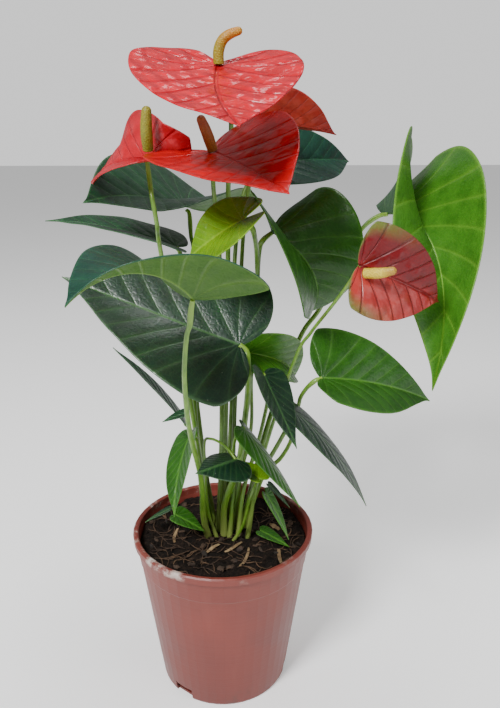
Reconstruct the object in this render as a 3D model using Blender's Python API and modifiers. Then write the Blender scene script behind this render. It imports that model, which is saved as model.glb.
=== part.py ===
# Potted anthurium: heart-shaped leaves and red spathes on long stalks, in a round tapering pot.
# Lengths are millimetres turned to metres by MM, +Z is up, and the origin is the middle of the
# pot's flat underside. X runs to the right and Y to the back.
import math

import bmesh
import bpy
import numpy as np
from mathutils import Vector

MM = 0.001
GAP = 0.3 * MM

# Pot
RIM_RADIUS = 60 * MM
SHOULDER_RADIUS = 57.5 * MM
FOOT_RADIUS = 43 * MM
POT_HEIGHT = 110 * MM
LIP_HEIGHT = 5 * MM
WALL = 1.4 * MM
STEP_HEIGHT = 90 * MM
POT_STEPS = 48
NOTCH_WIDTH = 14 * MM
NOTCH_HEIGHT = 8 * MM
NOTCH_DEPTH = 6 * MM
NOTCH_ANGLES = (-130, -12, 108)

# Potting mix
SOIL_LEVEL = 97.5 * MM
SOIL_CALM_RADIUS = 26 * MM
SOIL_BUMP = 2 * MM
SOIL_RINGS = 7
SOIL_STEPS = 36

# Blades and spathes
BLADE_ROWS = 12
BLADE_COLUMNS = 3
BLADE_THICKNESS = 0.8 * MM
STALK_OFFSET = 3 * MM

# Half outlines from the tip to the notch behind the junction: along the midrib in lengths, out
# from it in half widths. The junction is at 0 and the tip at 1.
LEAF_OUTLINE = ((1.0, 0.0), (0.93, 0.07), (0.82, 0.25), (0.62, 0.58), (0.38, 0.86), (0.14, 1.0),
                (-0.08, 0.93), (-0.24, 0.66), (-0.26, 0.36), (-0.14, 0.13), (-0.03, 0.02))
SPATHE_OUTLINE = ((1.0, 0.0), (0.95, 0.06), (0.84, 0.27), (0.66, 0.6), (0.42, 0.88), (0.16, 1.0),
                  (-0.08, 0.9), (-0.2, 0.62), (-0.21, 0.34), (-0.12, 0.12), (-0.03, 0.02))
LITTER_THICKNESS = 0.8 * MM

# Each shape gives the junction where the stalk meets the blade, the heading, rise and roll of the
# midrib in degrees, the length and width in millimetres, and the bends in degrees: droop to the
# tip, sweep to the left, twist, and for the left and right halves fold, cup towards the edge and
# lift towards the lobes. The stalk is its route down to the soil, with its radius at each end.
SPATHES = {
    "top": dict(
        at=(1, -10, 395), heading=-97, rise=-21, roll=3, length=97, width=90,
        droop=-1, sweep=23, twist=-10, fold=(1, 3), cup=(8, 16), lift=(-4, 4), lobe=1.1,
        stalk=[(1, -10, 395), (4, 4, 388), (7, 18, 377), (8, 28, 362), (6, 32, 328), (5, 25, 259),
               (3, 15, 195), (0, 9, 100)],
        radii=(1.6, 2.0)),
    "front": dict(
        at=(-3, 0, 351), heading=-67, rise=-7, roll=16, length=86, width=86,
        droop=9, sweep=2, twist=1, fold=(12, 11), cup=(10, 6), lobe=0.9,
        stalk=[(-3, 0, 351), (-3, 18, 329), (0, 27, 288), (0, 21, 240), (0, 7, 183), (-3, 5, 100)],
        radii=(1.5, 1.9)),
    "left": dict(
        at=(-42, 19, 345), heading=158, rise=6, roll=-35, length=50, width=50,
        droop=56, sweep=-2, twist=7, fold=(3, 7), cup=(-4, 9), lift=(29, 46), lobe=1.8, lobe_ratio=0.9,
        stalk=[(-42, 19, 345), (-41, 17, 336), (-39, 10, 324), (-37, 11, 309), (-36, 21, 289),
               (-23, 20, 208), (-15, 9, 153), (-12, 10, 100)],
        radii=(1.5, 1.9)),
    "rear": dict(
        at=(27, 43, 366), heading=13, rise=4, roll=-24, length=49, width=62,
        droop=25, sweep=-3, twist=6, fold=(19, 15), cup=(6, 5), lobe=1.0,
        stalk=[(27, 43, 366), (21, 44, 339), (16, 44, 301), (13, 34, 257), (9, 19, 192), (6, 18, 100)],
        radii=(1.4, 1.8)),
    "young": dict(
        at=(72, -57, 296), heading=2, rise=-19, roll=76, length=56, width=51,
        droop=30, sweep=-6, twist=7, fold=(19, 11), cup=(2, -1), lift=(-2, 11), lobe=0.3,
        stalk=[(72, -57, 296), (71, -56, 293), (66, -48, 281), (60, -38, 268), (56, -30, 259),
               (52, -23, 250), (46, -15, 236), (34, -10, 195), (23, -7, 150), (16, -4, 100)],
        radii=(1.0, 1.5)),
}

LEAVES = {
    "upper_left": dict(
        at=(-23, 94, 309), heading=-132, rise=18, roll=-18, length=102, width=80,
        droop=19, sweep=22, twist=-11, fold=(11, 20), cup=(1, 3), lift=(26, 0), lobe=1.7,
        stalk=[(-23, 94, 309), (-21, 92, 306), (-20, 85, 292), (-18, 71, 279), (-21, 52, 232),
               (-15, 26, 169), (-7, 20, 100)],
        radii=(1.5, 2.2)),
    "side_left": dict(
        at=(-29, 60, 288), heading=-179, rise=23, roll=-1, length=88, width=73,
        droop=22, sweep=1, twist=-4, fold=(10, 10), cup=(-6, -10), lobe=0.3,
        stalk=[(-29, 60, 288), (-26, 59, 281), (-23, 50, 254), (-19, 31, 203), (-16, 15, 151),
               (-12, 15, 100)],
        radii=(1.5, 2.0)),
    "front_left": dict(
        at=(-13, -86, 286), heading=-141, rise=49, roll=11, length=75, width=90,
        droop=83, sweep=-10, twist=5, fold=(19, 26), cup=(-36, 4), lift=(9, -4), lobe=0.3,
        stalk=[(-13, -86, 286), (-14, -84, 280), (-15, -81, 272), (-17, -78, 264), (-19, -69, 239),
               (-18, -52, 203), (-13, -28, 159), (-13, -12, 125), (-10, 0, 100)],
        radii=(1.9, 2.8)),
    "big_dark": dict(
        at=(11, -17, 242), heading=168, rise=18, roll=-41, length=114, width=91,
        droop=-2, sweep=-1, twist=6, fold=(13, 11), cup=(-2, -7), lift=(-8, 1), lobe=0.4,
        stalk=[(11, -17, 242), (15, -17, 237), (16, -24, 227), (16, -16, 210), (14, -8, 186),
               (10, -6, 156), (1, -1, 125), (1, 1, 100)],
        radii=(2.0, 2.6)),
    "young_bright": dict(
        at=(13, -24, 316), heading=172, rise=-30, roll=-44, length=39, width=35,
        droop=27, sweep=-10, twist=-10, fold=(17, 10), cup=(2, 2), lift=(10, -23), lobe=1.2,
        stalk=[(13, -24, 316), (17, -18, 312), (20, -10, 306), (23, 12, 286), (23, 16, 248),
               (15, 11, 181), (5, 9, 100)],
        radii=(1.6, 2.0)),
    "upper_right": dict(
        at=(33, 25, 302), heading=-37, rise=-19, roll=28, length=79, width=97,
        droop=129, sweep=16, twist=25, fold=(30, 32), cup=(10, -22), lift=(-30, 45), lobe=0.3, lobe_ratio=0.2,
        stalk=[(33, 25, 302), (27, 20, 298), (25, 22, 292), (24, 24, 274), (23, 21, 240),
               (15, 16, 172), (8, 13, 100)],
        radii=(1.6, 2.0)),
    "rear_right": dict(
        at=(29, 72, 341), heading=22, rise=6, roll=51, length=93, width=58,
        droop=35, sweep=14, twist=23, fold=(14, 22), cup=(-9, 11), lobe=0.9,
        stalk=[(29, 72, 341), (18, 68, 325), (13, 62, 302), (10, 52, 276), (9, 36, 229), (6, 22, 171),
               (2, 22, 100)],
        radii=(1.5, 2.0)),
    "large_right": dict(
        at=(118, 78, 307), heading=-74, rise=9, roll=-20, length=169, width=114,
        droop=89, sweep=3, twist=48, fold=(56, 31), cup=(21, -5), lift=(-2, 62), lobe=1.0,
        stalk=[(118, 78, 307), (112, 82, 305), (100, 76, 297), (87, 66, 279), (69, 52, 247),
               (54, 44, 227), (32, 21, 177), (13, 13, 100)],
        radii=(1.6, 2.2)),
    "lower_right": dict(
        at=(63, -3, 215), heading=9, rise=-5, roll=33, length=83, width=68,
        droop=26, sweep=-5, twist=12, fold=(19, 17), cup=(-7, -11), lift=(7, 16), lobe=0.3,
        stalk=[(63, -3, 215), (59, -4, 214), (54, -3, 209), (50, -2, 202), (48, 0, 193), (38, 5, 169),
               (23, 7, 138), (9, 6, 100)],
        radii=(1.4, 2.0)),
    "crinkled": dict(
        at=(17, 8, 229), heading=13, rise=-12, roll=52, length=59, width=49,
        droop=71, sweep=-3, twist=3, fold=(43, 28), cup=(21, 8), lift=(29, 5), lobe=0.5,
        stalk=[(17, 8, 229), (19, 7, 223), (19, 2, 209), (19, 10, 174), (11, 5, 140), (5, 4, 100)],
        radii=(1.2, 1.6)),
    "dark_centre": dict(
        at=(25, -22, 225), heading=-63, rise=-40, roll=-17, length=49, width=33,
        droop=8, sweep=7, fold=(4, 12), cup=(1, 3), lift=(2, 14), lobe=0.3,
        stalk=[(25, -22, 225), (29, -12, 215), (29, -4, 201), (24, 6, 169), (14, 4, 134), (10, -1, 100)],
        radii=(1.3, 1.7)),
    "long_drooping": dict(
        at=(43, -22, 202), heading=-5, rise=-41, roll=4, length=82, width=34,
        droop=26, sweep=1, twist=9, fold=(-1, 2), cup=(-12, -9), lobe=0.3,
        stalk=[(43, -22, 202), (46, -2, 184), (45, 3, 170), (39, 8, 155), (27, 11, 139), (14, 8, 100)],
        radii=(1.3, 1.9)),
    "low_left": dict(
        at=(-20, -19, 184), heading=-119, rise=-44, roll=32, length=49, width=28,
        droop=21, sweep=6, twist=-18, fold=(13, 8), cup=(2, -6), lobe=0.4,
        stalk=[(-20, -19, 184), (-16, -12, 179), (-15, -7, 166), (-13, 0, 137), (-12, 5, 100)],
        radii=(1.2, 1.8)),
    "small_dark": dict(
        at=(8, -35, 176), heading=-126, rise=12, roll=-22, length=34, width=29,
        droop=15, sweep=-10, twist=-2, fold=(-11, -16), cup=(-15, -13), lobe=0.8,
        stalk=[(8, -35, 176), (4, -30, 180), (-1, -24, 182), (-7, -16, 181), (-11, -10, 176),
               (-11, -7, 155), (-10, -3, 124), (-4, -2, 100)],
        radii=(0.9, 1.2)),
    "small_bright": dict(
        at=(22, -31, 161), heading=128, rise=11, roll=-1, length=27, width=17,
        droop=14, sweep=-5, twist=2, fold=(18, 13), cup=(4, -1), lobe=0.6,
        stalk=[(22, -31, 161), (20, -22, 151), (17, -20, 140), (13, -12, 117), (6, -6, 100)],
        radii=(0.9, 1.2)),
    "low_right": dict(
        at=(13, -28, 193), heading=-19, rise=-49, roll=-7, length=60, width=30,
        droop=9, sweep=3, twist=2, fold=(-6, -2), cup=(-10, -11), lobe=0.3,
        stalk=[(13, -28, 193), (9, -10, 180), (7, -3, 164), (7, 1, 136), (4, -3, 100)],
        radii=(1.1, 1.6)),
    "narrow_left": dict(
        at=(-26, 35, 169), heading=164, rise=52, roll=21, length=72, width=34,
        droop=10, sweep=1, twist=-10, fold=(11, 7), cup=(-3, -8), lobe=0.3,
        stalk=[(-26, 35, 169), (-21, 34, 164), (-18, 26, 153), (-15, 19, 134), (-4, 13, 100)],
        radii=(1.0, 1.4)),
}

# Small leaves low in the pot: junction, tip, width and how far the blade sags below the straight
# line between them, all in millimetres.
SMALL_LEAVES = {
    "tiny_left": ((-21, -27, 203), (-35, -30, 199), 11, 2),
    "soil_left": ((-36, 3, 121), (-52, -1, 114), 6, 3),
    "soil_front": ((-31, -8, 123), (-12, -14, 114), 19, 2),
    "soil_right_front": ((27, -26, 147), (41, -32, 118), 12, 5),
    "soil_right_low": ((25, -9, 110), (43, -19, 104), 12, 3),
    "soil_right_rear": ((32, 15, 131), (46, 9, 116), 7, 4),
}

# Spadices: route from the spathe up to the tip and the radius at each end, in millimetres.
SPADICES = {
    "top": (((1, -12, 398.5), (1, -13, 403), (3, -14, 407), (7, -15, 410), (13, -16, 412)), (3.0, 2.6, 2.2)),
    "front": (((-3, -3, 353), (-6, -5, 361), (-10, -7, 370)), (2.8, 2.6, 2.2)),
    "left": (((-40, 7, 353), (-40, 2, 363), (-39, -1, 375)), (3.2, 3.2, 2.6)),
    "rear": (((29, 46, 370), (33, 49, 379), (38, 51, 387)), (2.8, 2.6, 2.0)),
    "young": (((75, -62, 293), (81, -66, 294), (88, -69, 296)), (2.6, 2.5, 2.0)),
}

# Loose bits: corner-to-corner route, width and thickness in millimetres.
LITTER = {
    "straw_strip": (((-41, -17, 102), (-31, -8, 105), (-23, 3, 103)), 3.5),
    "dead_sheath": (((-18, -33, 102), (-15, -27, 105), (-11, -21, 107)), 4.5),
    "bark_chip": (((26, -28, 103), (32, -25, 104), (38, -21, 103)), 5.0),
}


def material(name, colour, roughness):
    surface = bpy.data.materials.new(name)
    surface.use_nodes = True
    shader = surface.node_tree.nodes["Principled BSDF"]
    shader.inputs["Base Color"].default_value = (*colour, 1.0)
    shader.inputs["Roughness"].default_value = roughness
    shader.inputs["Metallic"].default_value = 0.0
    return surface


def add_object(name, data, surface, collection):
    part = bpy.data.objects.new(name, data)
    collection.objects.link(part)
    part.data.materials.append(surface)
    return part


def through_points(points, steps):
    # A smooth run of steps + 1 points through the given ones.
    points = np.asarray(points, float)
    ends = np.vstack([2 * points[0] - points[1], points, 2 * points[-1] - points[-2]])
    last = len(points) - 1
    run = []
    for step in range(steps + 1):
        place = step / steps * last
        index = min(int(place), last - 1)
        part = place - index
        a, b, c, d = ends[index:index + 4]
        turn = (2 * a - 5 * b + 4 * c - d) * part ** 2 + (3 * b - 3 * c + d - a) * part ** 3
        run.append(0.5 * (2 * b + (c - a) * part + turn))
    return np.array(run)


def flat_blade(shape, outline):
    # Places on the flat blade, row by row from the tip to the notch: along and across.
    edge = through_points(outline, BLADE_ROWS)
    across = np.linspace(-1, 1, 2 * BLADE_COLUMNS + 1)
    places = np.zeros((BLADE_ROWS + 1, len(across), 2))
    for row in range(BLADE_ROWS + 1):
        foot = max(1 - row / BLADE_ROWS / 0.62, 0) ** 0.9
        for column, side in enumerate(across):
            reach = edge[row, 0]
            if reach < 0:
                reach *= shape["lobe"] * (shape.get("lobe_ratio", 1) if side < 0 else 1)
            along = foot * (1 - abs(side)) + reach * abs(side)
            places[row, column] = along * shape["length"], side * edge[row, 1] * shape["width"] / 2
    return places * MM


def bent_blade(shape, outline):
    # The flat blade folded up along its midrib, cupped, twisted, drooped and swept to one side.
    places = flat_blade(shape, outline)
    along, across = places[..., 0], places[..., 1]
    length, half = shape["length"] * MM, shape["width"] * MM / 2
    stations = np.linspace(-0.6 * length, length, 161)
    forward = np.clip(stations / length, 0, 1)
    slope = -np.radians(shape.get("droop", 0)) * forward
    sweep = np.radians(shape.get("sweep", 0)) * forward
    heading = np.stack([np.cos(slope) * np.cos(sweep), np.cos(slope) * np.sin(sweep), np.sin(slope)], -1)
    spine = np.cumsum(heading, 0) * (stations[1] - stations[0])
    spine -= spine[np.argmin(abs(stations))]

    def along_spine(values):
        return np.stack([np.interp(along, stations, values[:, axis]) for axis in range(3)], -1)

    foot, direction = along_spine(spine), along_spine(heading)
    direction /= np.linalg.norm(direction, axis=-1, keepdims=True)
    turned = np.interp(along, stations, sweep)
    sideways = np.stack([-np.sin(turned), np.cos(turned), 0 * turned], -1)
    upward = np.cross(direction, sideways)
    twist = (np.radians(shape.get("twist", 0)) * np.clip(along / length, -0.3, 1))[..., None]
    out = sideways * np.cos(twist) + upward * np.sin(twist)
    up = upward * np.cos(twist) - sideways * np.sin(twist)
    left = across > 0
    fold, cup, lift = (np.radians(np.where(left, *shape.get(bend, (0, 0)))) for bend in ("fold", "cup", "lift"))
    fold = fold + lift * np.clip(1 - along / (0.6 * length), 0, 1.5)
    curl = np.where(abs(cup) < 1e-6, 1e-6, cup) / half
    distance = abs(across)
    reach = (np.sin(fold + curl * distance) - np.sin(fold)) / curl
    rise = (np.cos(fold) - np.cos(fold + curl * distance)) / curl
    return foot + out * (np.sign(across) * reach)[..., None] + up * rise[..., None]


def add_blade(name, shape, outline, surface, collection):
    # A grid laid on the bent surface, its collapsed rows merged, given thickness.
    surface_points = bent_blade(shape, outline)
    grid = bmesh.new()
    bmesh.ops.create_grid(grid, x_segments=2 * BLADE_COLUMNS, y_segments=BLADE_ROWS, size=0.5)
    for corner in grid.verts:
        column = round((corner.co.x + 0.5) * 2 * BLADE_COLUMNS)
        row = round((0.5 - corner.co.y) * BLADE_ROWS)
        corner.co = surface_points[row, column]
    bmesh.ops.remove_doubles(grid, verts=grid.verts, dist=0.02 * MM)
    bmesh.ops.recalc_face_normals(grid, faces=grid.faces)
    mesh = bpy.data.meshes.new(name)
    grid.to_mesh(mesh)
    grid.free()
    mesh.shade_smooth()
    blade = add_object(name, mesh, surface, collection)
    blade.location = Vector(shape["at"]) * MM
    blade.rotation_euler = (math.radians(shape["roll"]), -math.radians(shape["rise"]), math.radians(shape["heading"]))
    wall = blade.modifiers.new("Thickness", "SOLIDIFY")
    wall.thickness = BLADE_THICKNESS
    wall.offset = 0
    return blade


def add_tube(name, route, radii, surface, collection):
    # A round stalk along a route in millimetres, its radius running from the first to the last.
    line = bpy.data.curves.new(name, "CURVE")
    line.dimensions = "3D"
    line.use_fill_caps = True
    line.bevel_depth = 1.0 * MM
    line.bevel_resolution = 2
    points = through_points(route, 2 * (len(route) - 1)) * MM
    spline = line.splines.new("POLY")
    spline.points.add(len(points) - 1)
    for index, point in enumerate(points):
        spline.points[index].co = (*point, 1.0)
        spline.points[index].radius = np.interp(index / (len(points) - 1), np.linspace(0, 1, len(radii)), radii)
    return add_object(name, line, surface, collection)


def shortened(route, offset):
    # The route with its first point moved along it, clear of the blade it carries.
    first, second = Vector(route[0]), Vector(route[1])
    return [tuple(first + (second - first).normalized() * offset / MM)] + list(route[1:])


def small_blade(junction, tip, width, sag):
    # The shape of a small leaf that runs straight from its junction to its tip.
    run = Vector(tip) - Vector(junction)
    return {
        "at": junction,
        "heading": math.degrees(math.atan2(run.y, run.x)),
        "rise": math.degrees(math.asin(run.z / run.length)) + sag,
        "roll": 0,
        "length": run.length,
        "width": width,
        "droop": 2 * sag,
        "fold": (10, 10),
        "lobe": 0.4,
    }


def add_litter(name, route, width, surface, collection):
    # A flat strip along a route: a thin box bent through the route's points.
    strip = bmesh.new()
    bmesh.ops.create_grid(strip, x_segments=6, y_segments=1, size=0.5)
    points = through_points(route, 6) * MM
    for corner in strip.verts:
        index = round((corner.co.x + 0.5) * 6)
        side = corner.co.y
        ahead = points[min(index + 1, 6)] - points[max(index - 1, 0)]
        across = Vector((-ahead[1], ahead[0], 0)).normalized()
        taper = 1 - 0.6 * abs(index / 3 - 1) ** 2
        corner.co = Vector(points[index]) + across * side * width * MM * taper
    mesh = bpy.data.meshes.new(name)
    strip.to_mesh(mesh)
    strip.free()
    piece = add_object(name, mesh, surface, collection)
    wall = piece.modifiers.new("Thickness", "SOLIDIFY")
    wall.thickness = LITTER_THICKNESS
    wall.offset = 0
    return piece


def inner_radius(height):
    # The pot's inside radius at a height above its foot.
    slope = (SHOULDER_RADIUS - FOOT_RADIUS) / (POT_HEIGHT - LIP_HEIGHT)
    return FOOT_RADIUS + slope * height - WALL


def add_turned(name, profile, steps, surface, collection):
    # A closed solid turned about Z from a profile that starts and ends on the axis.
    outline = bmesh.new()
    corners = [outline.verts.new((radius, 0, height)) for radius, height in profile]
    for first, second in zip(corners, corners[1:]):
        outline.edges.new((first, second))
    mesh = bpy.data.meshes.new(name)
    outline.to_mesh(mesh)
    outline.free()
    solid = add_object(name, mesh, surface, collection)
    screw = solid.modifiers.new("Turn", "SCREW")
    screw.steps = steps
    screw.render_steps = steps
    screw.use_merge_vertices = True
    screw.merge_threshold = 0.02 * MM
    return solid


def add_pot(parts, cutters):
    shoulder = POT_HEIGHT - LIP_HEIGHT
    step_radius = inner_radius(STEP_HEIGHT) + WALL
    profile = (
        (0, WALL),
        (inner_radius(0) - 1 * MM, WALL),
        (inner_radius(3 * MM), 3 * MM),
        (inner_radius(STEP_HEIGHT), STEP_HEIGHT),
        (inner_radius(shoulder) + 0.5 * MM, shoulder),
        (RIM_RADIUS - 3.4 * MM, POT_HEIGHT - 0.6 * MM),
        (RIM_RADIUS - 2.6 * MM, POT_HEIGHT),
        (RIM_RADIUS - 0.8 * MM, POT_HEIGHT),
        (RIM_RADIUS, POT_HEIGHT - 0.9 * MM),
        (RIM_RADIUS - 0.3 * MM, shoulder),
        (SHOULDER_RADIUS + 0.4 * MM, shoulder - 0.4 * MM),
        (step_radius + 0.5 * MM, STEP_HEIGHT + 0.5 * MM),
        (step_radius, STEP_HEIGHT - 0.5 * MM),
        (FOOT_RADIUS + 0.2 * MM, 1.5 * MM),
        (FOOT_RADIUS - 0.6 * MM, 0),
        (0, 0),
    )
    pot = add_turned("pot", profile, POT_STEPS, material("terracotta_plastic", (0.27, 0.075, 0.06), 0.5), parts)
    for index, angle in enumerate(NOTCH_ANGLES):
        block = bmesh.new()
        bmesh.ops.create_cube(block, size=1)
        bmesh.ops.scale(block, verts=block.verts, vec=(NOTCH_DEPTH, NOTCH_WIDTH, 2 * NOTCH_HEIGHT))
        mesh = bpy.data.meshes.new("notch_cutter")
        block.to_mesh(mesh)
        block.free()
        cutter = bpy.data.objects.new(f"notch_cutter_{index + 1}", mesh)
        cutters.objects.link(cutter)
        turn = math.radians(angle)
        reach = FOOT_RADIUS + 0.2 * MM
        cutter.location = (reach * math.cos(turn), reach * math.sin(turn), 0)
        cutter.rotation_euler.z = turn
        cutter.hide_render = True
        cutter.display_type = "WIRE"
        notch = pot.modifiers.new("Notch", "BOOLEAN")
        notch.operation = "DIFFERENCE"
        notch.object = cutter
    return pot


def soil_height(x, y):
    # The mix is level round the stems and lumpy towards the wall.
    lumps = math.sin(x / (7 * MM) + 1) * math.cos(y / (6 * MM)) + 0.6 * math.sin((x + y) / (4 * MM))
    calm = min(max((math.hypot(x, y) - SOIL_CALM_RADIUS) / (12 * MM), 0), 1)
    return SOIL_LEVEL + SOIL_BUMP * 0.5 * calm * lumps


def add_soil(parts):
    # Rings from the middle of the top out to the wall, then down the wall to the floor.
    rim = inner_radius(SOIL_LEVEL - 4 * MM) - 2 * GAP
    soil = bmesh.new()
    bmesh.ops.create_cone(soil, cap_ends=True, segments=SOIL_STEPS, radius1=inner_radius(0) - 1.6 * MM,
                          radius2=rim, depth=SOIL_LEVEL - 4 * MM)
    bmesh.ops.translate(soil, verts=soil.verts, vec=(0, 0, (SOIL_LEVEL - 4 * MM) / 2 + WALL + GAP))
    top = max(soil.faces, key=lambda face: face.calc_center_median().z)
    for ring in range(SOIL_RINGS):
        width = rim / (SOIL_RINGS + 1)
        bmesh.ops.inset_region(soil, faces=[top], thickness=width, use_even_offset=False)
    bmesh.ops.poke(soil, faces=[top])
    level = max(corner.co.z for corner in soil.verts)
    for corner in soil.verts:
        if corner.co.z > level - 1 * MM and math.hypot(corner.co.x, corner.co.y) < rim - 1 * MM:
            corner.co.z = soil_height(corner.co.x, corner.co.y)
    mesh = bpy.data.meshes.new("potting_mix")
    soil.to_mesh(mesh)
    soil.free()
    return add_object("potting_mix", mesh, material("dark_mix", (0.02, 0.014, 0.01), 0.95), parts)


def build():
    for item in list(bpy.data.objects):
        bpy.data.objects.remove(item, do_unlink=True)
    parts = bpy.data.collections.new("potted_anthurium")
    cutters = bpy.data.collections.new("cutters")
    bpy.context.scene.collection.children.link(parts)
    bpy.context.scene.collection.children.link(cutters)

    add_pot(parts, cutters)
    add_soil(parts)

    spathe_red = material("spathe_red", (0.62, 0.02, 0.04), 0.25)
    spadix_yellow = material("spadix_yellow", (0.55, 0.42, 0.06), 0.5)
    stalk_green = material("stalk_green", (0.18, 0.32, 0.06), 0.45)
    leaf_green = material("leaf_green", (0.04, 0.14, 0.03), 0.35)
    straw = material("straw", (0.5, 0.4, 0.25), 0.8)

    for name, shape in SPATHES.items():
        add_blade(f"spathe_{name}", shape, SPATHE_OUTLINE, spathe_red, parts)
        add_tube(f"flower_stalk_{name}", shortened(shape["stalk"], STALK_OFFSET), shape["radii"], stalk_green, parts)
    for name, (route, radii) in SPADICES.items():
        add_tube(f"spadix_{name}", route, radii, spadix_yellow, parts)
    for name, shape in LEAVES.items():
        add_blade(f"leaf_{name}", shape, LEAF_OUTLINE, leaf_green, parts)
        add_tube(f"petiole_{name}", shortened(shape["stalk"], STALK_OFFSET), shape["radii"], stalk_green, parts)
    for name, (junction, tip, width, sag) in SMALL_LEAVES.items():
        add_blade(f"leaf_{name}", small_blade(junction, tip, width, sag), LEAF_OUTLINE, leaf_green, parts)
    for name, (route, width) in LITTER.items():
        add_litter(name, route, width, straw, parts)


build()
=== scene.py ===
import math
import random

import bmesh
import bpy
import numpy as np
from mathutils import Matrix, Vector, noise


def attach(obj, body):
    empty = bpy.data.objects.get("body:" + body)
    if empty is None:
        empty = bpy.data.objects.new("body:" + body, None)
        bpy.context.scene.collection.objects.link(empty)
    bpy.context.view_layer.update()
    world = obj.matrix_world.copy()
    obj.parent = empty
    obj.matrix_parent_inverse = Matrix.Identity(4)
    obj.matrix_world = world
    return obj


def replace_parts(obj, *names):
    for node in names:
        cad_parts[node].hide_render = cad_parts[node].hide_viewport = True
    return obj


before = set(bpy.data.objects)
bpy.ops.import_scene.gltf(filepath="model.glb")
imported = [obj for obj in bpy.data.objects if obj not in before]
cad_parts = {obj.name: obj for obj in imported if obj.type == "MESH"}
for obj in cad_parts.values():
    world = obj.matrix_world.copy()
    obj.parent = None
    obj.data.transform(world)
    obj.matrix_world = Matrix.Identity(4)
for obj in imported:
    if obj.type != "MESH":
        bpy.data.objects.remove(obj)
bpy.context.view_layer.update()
mm = 0.001


def node(tree, kind, inputs=None, output=0, **settings):
    made = tree.nodes.new(kind)
    for key, value in settings.items():
        setattr(made, key, value)
    for key, value in (inputs or {}).items():
        if isinstance(value, bpy.types.NodeSocket):
            tree.links.new(value, made.inputs[key])
        else:
            made.inputs[key].default_value = value
    return made.outputs[output]


def calc(tree, operation, first, second=0.0):
    return node(tree, "ShaderNodeMath", {0: first, 1: second}, operation=operation)


def blend(tree, factor, first, second):
    colours = {6: first, 7: second}
    for key, value in colours.items():
        if isinstance(value, tuple):
            colours[key] = (*value, 1.0)
    return node(tree, "ShaderNodeMix", {0: factor, **colours}, output=2, data_type="RGBA")


def remap(tree, value, low, high, start=0.0, end=1.0):
    return node(tree, "ShaderNodeMapRange", {0: value, 1: low, 2: high, 3: start, 4: end},
                interpolation_type="SMOOTHSTEP")


def speckle(tree, place, scale, detail=3.0, rough=0.5):
    return node(tree, "ShaderNodeTexNoise",
                {"Vector": place, "Scale": scale, "Detail": detail, "Roughness": rough})


def newMaterial(name):
    surface = bpy.data.materials.new(name)
    surface.use_nodes = True
    tree = surface.node_tree
    return surface, tree, tree.nodes["Principled BSDF"]


def plug(tree, shader, **values):
    for name, value in values.items():
        socket = shader.inputs[name.replace("_", " ")]
        if isinstance(value, bpy.types.NodeSocket):
            tree.links.new(value, socket)
        elif isinstance(value, tuple) and len(value) == 3 and name == "Base_Color":
            socket.default_value = (*value, 1.0)
        else:
            socket.default_value = value


def bumped(tree, height, strength, distance, onto=None):
    inputs = {"Height": height, "Strength": strength, "Distance": distance}
    if onto is not None:
        inputs["Normal"] = onto
    return node(tree, "ShaderNodeBump", inputs)


def bladeSockets(tree):
    # UV map "blade" holds the place along and across in units of 100 mm, "veins" the vein phase and
    # how far out towards the margin, 0 to 1.
    flat = node(tree, "ShaderNodeUVMap", uv_map="blade")
    split = tree.nodes.new("ShaderNodeSeparateXYZ")
    tree.links.new(flat, split.inputs[0])
    veins = tree.nodes.new("ShaderNodeSeparateXYZ")
    tree.links.new(node(tree, "ShaderNodeUVMap", uv_map="veins"), veins.inputs[0])
    return flat, split.outputs[0], split.outputs[1], veins.outputs[0], veins.outputs[1]


def veinMasks(tree, across, phase, thickness):
    # Lines at whole phases, and the midrib along the middle.
    away = calc(tree, "PINGPONG", phase, 0.5)
    side = node(tree, "ShaderNodeMapRange", {0: away, 1: 0.0, 2: thickness, 3: 1.0, 4: 0.0})
    rib = node(tree, "ShaderNodeMapRange",
               {0: calc(tree, "ABSOLUTE", across), 1: 0.003, 2: 0.013, 3: 1.0, 4: 0.0})
    return side, rib


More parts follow.
